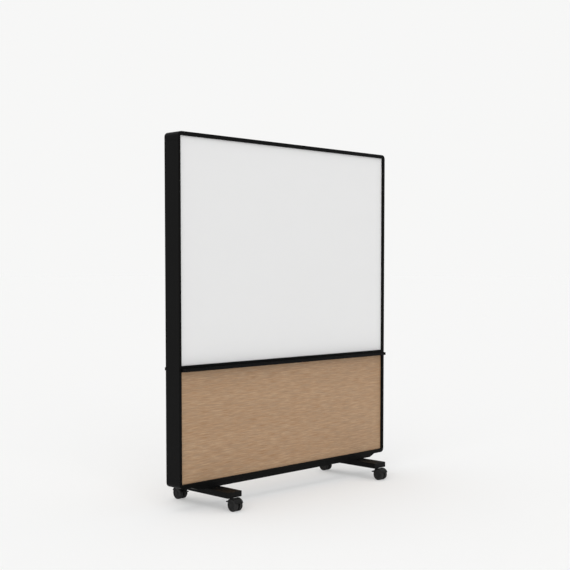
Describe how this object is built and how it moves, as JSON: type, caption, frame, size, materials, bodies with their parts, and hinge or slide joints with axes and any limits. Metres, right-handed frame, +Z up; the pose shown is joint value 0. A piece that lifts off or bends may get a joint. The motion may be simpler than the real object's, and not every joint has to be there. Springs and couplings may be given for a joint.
{
  "type": "rolling partition",
  "caption": "Rolling two-sided screen: whiteboard bay over an oak bay in a black frame with pen trays, on two flat feet with braked twin-wheel casters.",
  "frame": {"origin": "on the floor under the middle of the screen, at the centre of the footprint", "axes": "+Z up, along the height; X along the screen's width; -Y is the front face"},
  "size_m": [1.5, 0.466, 1.785],
  "materials": {
    "frame_black": "fine matt black powder coat",
    "foot_black": "fine matt black powder coat",
    "whiteboard": "smooth gloss white writing surface",
    "oak": "light oak veneer, grain along the width, matt lacquer",
    "plain_timber": "sawn softwood",
    "felt": "pressed fibre core",
    "cap_black": "fine moulded texture",
    "zinc": "bright zinc plated steel",
    "hood_black": "satin moulded nylon",
    "wheel_grey": "dark soft tread on a moulded wheel"
  },
  "bodies": {
    "frame": {"frame_stile_left": "frame_black", "frame_corner_top_left": "frame_black", "frame_corner_bottom_left": "frame_black", "frame_stile_right": "frame_black", "frame_corner_top_right": "frame_black", "frame_corner_bottom_right": "frame_black", "frame_top_rail": "frame_black", "frame_bottom_rail": "frame_black", "inner_stud_bottom": "plain_timber", "inner_stud_top": "plain_timber", "inner_stud_left": "plain_timber", "inner_stud_right": "plain_timber", "mid_rail": "frame_black", "acoustic_core_upper": "felt", "acoustic_core_lower": "felt", "whiteboard_front": "whiteboard", "oak_panel_front": "oak", "whiteboard_back": "whiteboard", "oak_panel_back": "oak", "pen_tray_front": "frame_black", "pen_tray_cap_front_left": "cap_black", "pen_tray_cap_front_right": "cap_black", "pen_tray_back": "frame_black", "pen_tray_cap_back_left": "cap_black", "pen_tray_cap_back_right": "cap_black", "base_beam": "foot_black", "foot_left": "foot_black", "foot_cap_left_front": "cap_black", "foot_bolt_left_front": "zinc", "foot_cap_left_rear": "cap_black", "foot_bolt_left_rear": "zinc", "foot_right": "foot_black", "foot_cap_right_front": "cap_black", "foot_bolt_right_front": "zinc", "foot_cap_right_rear": "cap_black", "foot_bolt_right_rear": "zinc", "caster_front_left_stem": "zinc", "caster_front_right_stem": "zinc", "caster_rear_left_stem": "zinc", "caster_rear_right_stem": "zinc"},
    "caster_front_left": {"caster_front_left_hood": "hood_black", "caster_front_left_axle": "zinc"},
    "caster_front_left_pedal": {"caster_front_left_pedal": "hood_black"},
    "caster_front_left_wheel_left": {"caster_front_left_wheel_left": "wheel_grey"},
    "caster_front_left_wheel_right": {"caster_front_left_wheel_right": "wheel_grey"},
    "caster_front_right": {"caster_front_right_hood": "hood_black", "caster_front_right_axle": "zinc"},
    "caster_front_right_pedal": {"caster_front_right_pedal": "hood_black"},
    "caster_front_right_wheel_left": {"caster_front_right_wheel_left": "wheel_grey"},
    "caster_front_right_wheel_right": {"caster_front_right_wheel_right": "wheel_grey"},
    "caster_rear_left": {"caster_rear_left_hood": "hood_black", "caster_rear_left_axle": "zinc"},
    "caster_rear_left_pedal": {"caster_rear_left_pedal": "hood_black"},
    "caster_rear_left_wheel_left": {"caster_rear_left_wheel_left": "wheel_grey"},
    "caster_rear_left_wheel_right": {"caster_rear_left_wheel_right": "wheel_grey"},
    "caster_rear_right": {"caster_rear_right_hood": "hood_black", "caster_rear_right_axle": "zinc"},
    "caster_rear_right_pedal": {"caster_rear_right_pedal": "hood_black"},
    "caster_rear_right_wheel_left": {"caster_rear_right_wheel_left": "wheel_grey"},
    "caster_rear_right_wheel_right": {"caster_rear_right_wheel_right": "wheel_grey"}
  },
  "joints": [
    {"name": "caster_front_left_swivel", "type": "hinge", "parent": "frame", "child": "caster_front_left", "pos_m": [-0.538, -0.177, 0.05], "axis": [0, 0, 1], "continuous": true},
    {"name": "caster_front_left_brake", "type": "hinge", "parent": "caster_front_left", "child": "caster_front_left_pedal", "pos_m": [-0.538, -0.165, 0.04], "axis": [-1, 0, 0], "range_deg": [0, 18]},
    {"name": "caster_front_left_roll_left", "type": "hinge", "parent": "caster_front_left", "child": "caster_front_left_wheel_left", "pos_m": [-0.538, -0.202, 0.03], "axis": [1, 0, 0], "continuous": true},
    {"name": "caster_front_left_roll_right", "type": "hinge", "parent": "caster_front_left", "child": "caster_front_left_wheel_right", "pos_m": [-0.538, -0.202, 0.03], "axis": [1, 0, 0], "continuous": true},
    {"name": "caster_front_right_swivel", "type": "hinge", "parent": "frame", "child": "caster_front_right", "pos_m": [0.538, -0.177, 0.05], "axis": [0, 0, 1], "continuous": true},
    {"name": "caster_front_right_brake", "type": "hinge", "parent": "caster_front_right", "child": "caster_front_right_pedal", "pos_m": [0.538, -0.165, 0.04], "axis": [-1, 0, 0], "range_deg": [0, 18]},
    {"name": "caster_front_right_roll_left", "type": "hinge", "parent": "caster_front_right", "child": "caster_front_right_wheel_left", "pos_m": [0.538, -0.202, 0.03], "axis": [1, 0, 0], "continuous": true},
    {"name": "caster_front_right_roll_right", "type": "hinge", "parent": "caster_front_right", "child": "caster_front_right_wheel_right", "pos_m": [0.538, -0.202, 0.03], "axis": [1, 0, 0], "continuous": true},
    {"name": "caster_rear_left_swivel", "type": "hinge", "parent": "frame", "child": "caster_rear_left", "pos_m": [-0.538, 0.177, 0.05], "axis": [0, 0, 1], "continuous": true},
    {"name": "caster_rear_left_brake", "type": "hinge", "parent": "caster_rear_left", "child": "caster_rear_left_pedal", "pos_m": [-0.538, 0.165, 0.04], "axis": [1, 0, 0], "range_deg": [0, 18]},
    {"name": "caster_rear_left_roll_left", "type": "hinge", "parent": "caster_rear_left", "child": "caster_rear_left_wheel_left", "pos_m": [-0.538, 0.202, 0.03], "axis": [1, 0, 0], "continuous": true},
    {"name": "caster_rear_left_roll_right", "type": "hinge", "parent": "caster_rear_left", "child": "caster_rear_left_wheel_right", "pos_m": [-0.538, 0.202, 0.03], "axis": [1, 0, 0], "continuous": true},
    {"name": "caster_rear_right_swivel", "type": "hinge", "parent": "frame", "child": "caster_rear_right", "pos_m": [0.538, 0.177, 0.05], "axis": [0, 0, 1], "continuous": true},
    {"name": "caster_rear_right_brake", "type": "hinge", "parent": "caster_rear_right", "child": "caster_rear_right_pedal", "pos_m": [0.538, 0.165, 0.04], "axis": [1, 0, 0], "range_deg": [0, 18]},
    {"name": "caster_rear_right_roll_left", "type": "hinge", "parent": "caster_rear_right", "child": "caster_rear_right_wheel_left", "pos_m": [0.538, 0.202, 0.03], "axis": [1, 0, 0], "continuous": true},
    {"name": "caster_rear_right_roll_right", "type": "hinge", "parent": "caster_rear_right", "child": "caster_rear_right_wheel_right", "pos_m": [0.538, 0.202, 0.03], "axis": [1, 0, 0], "continuous": true}
  ]
}
